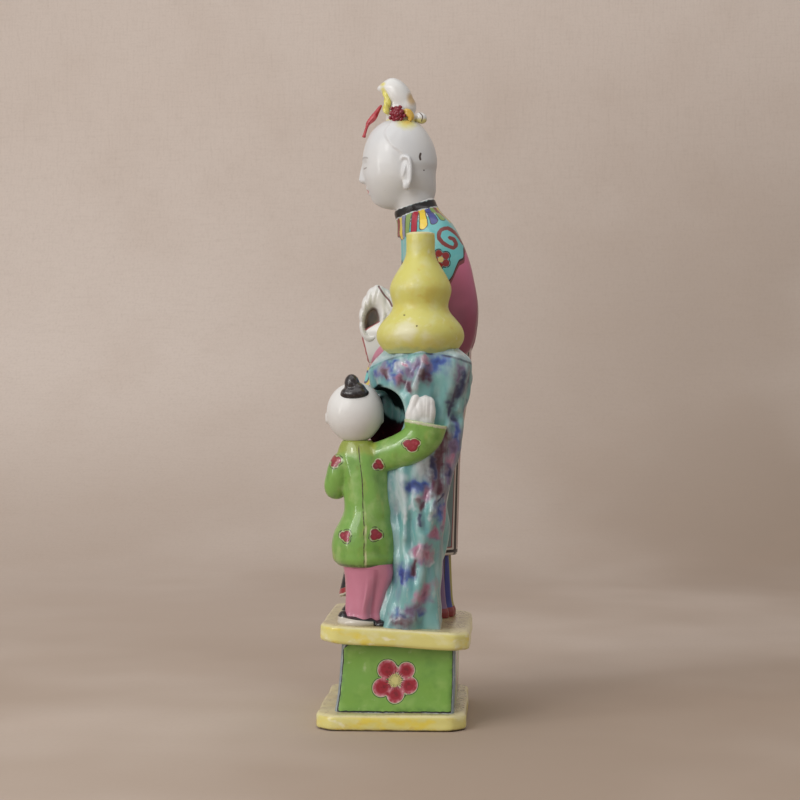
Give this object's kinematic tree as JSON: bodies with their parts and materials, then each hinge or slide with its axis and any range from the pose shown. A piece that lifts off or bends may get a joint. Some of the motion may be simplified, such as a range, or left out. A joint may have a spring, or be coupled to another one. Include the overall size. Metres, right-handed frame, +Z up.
{
  "type": "porcelain figure group",
  "caption": "Glazed porcelain group of a court lady and a climbing boy beside a pierced rock with a double-gourd vase, on a waisted rectangular plinth.",
  "frame": {"origin": "middle of the plinth's flat underside", "axes": "+Z up, -Y the way the lady faces, +X her left side, where the rock and the boy stand"},
  "size_m": [0.0842, 0.0613, 0.2599],
  "materials": {
    "glazed_porcelain": "white porcelain under a clear glaze, painted in green, yellow, rose, turquoise, purple, blue and black enamels, glossy; the underside is unglazed"
  },
  "bodies": {
    "root": {"lady_and_boy_group": "glazed_porcelain"}
  },
  "joints": []
}
